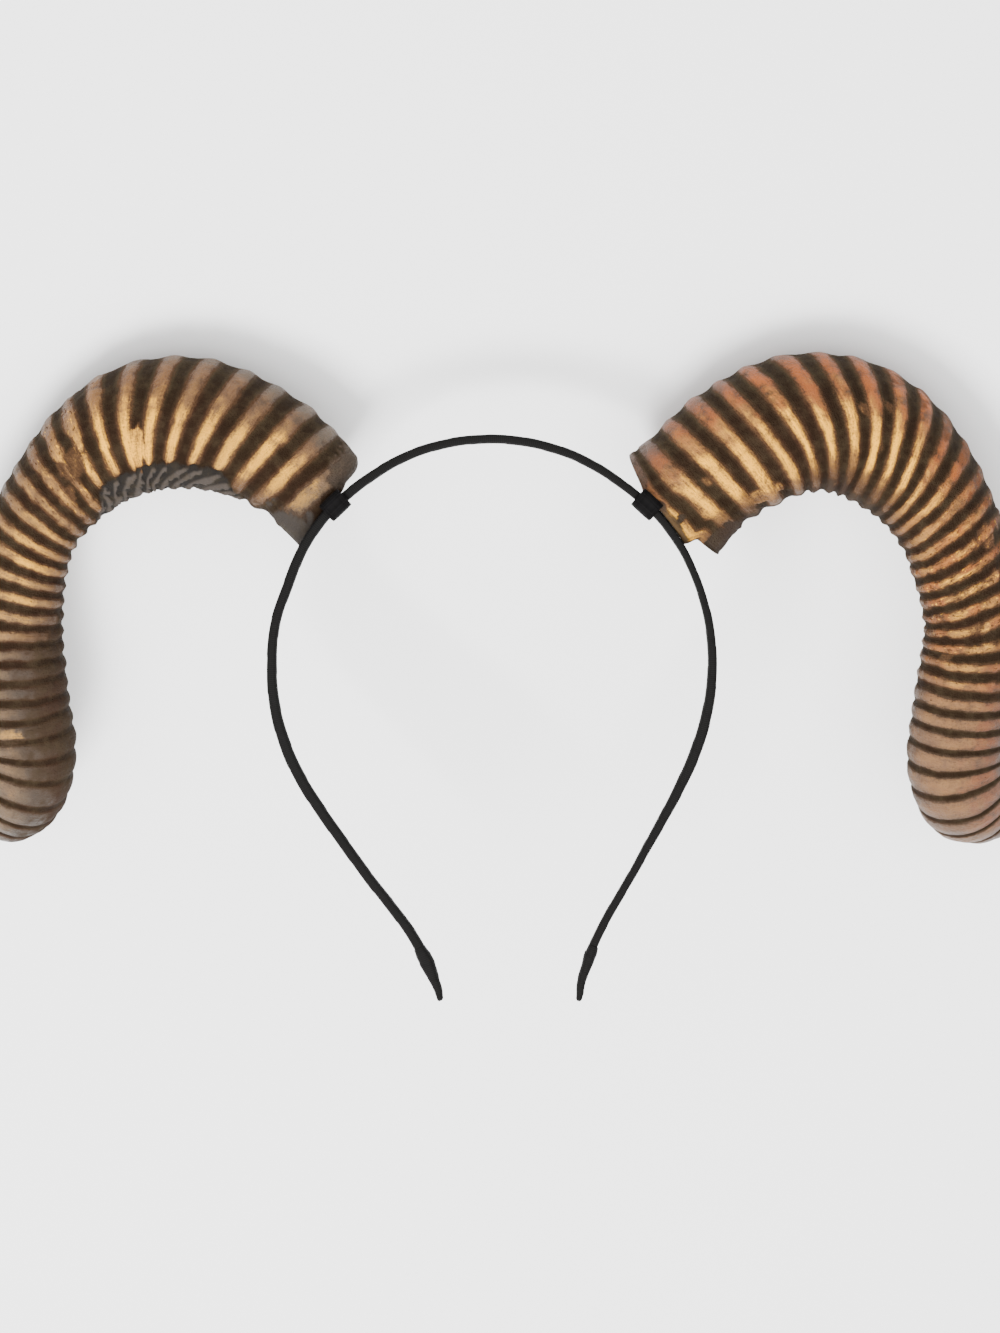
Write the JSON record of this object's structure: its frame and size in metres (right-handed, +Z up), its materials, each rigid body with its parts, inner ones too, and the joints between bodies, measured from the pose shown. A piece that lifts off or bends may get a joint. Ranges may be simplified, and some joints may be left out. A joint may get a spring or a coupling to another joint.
{
  "type": "ram horns headband",
  "caption": "Slim ribbon-covered headband with wrapped tips and curled ribbed foam ram horns, gold and copper over black, each held by a fabric loop.",
  "frame": {"origin": "middle of the footprint, on the surface that the headpiece lies on with its back down", "axes": "+X across to the viewer's right, +Y from the band's tips towards its crown, +Z up"},
  "size_m": [0.3372, 0.1642, 0.0984],
  "materials": {
    "ribbon": "black satin ribbon wound tight over the band, dull",
    "webbing": "matte black woven tape",
    "gold_paint": "dry-brushed gold on the ribs over a near-black foam skin, satin",
    "copper_paint": "dry-brushed copper and gold on the ribs over a near-black foam skin, satin"
  },
  "bodies": {
    "root": {"headband": "ribbon", "end_wrap_left": "ribbon", "end_wrap_right": "ribbon", "strap_loop_left": "webbing", "strap_loop_right": "webbing", "horn_left": "gold_paint", "horn_right": "copper_paint"}
  },
  "joints": []
}
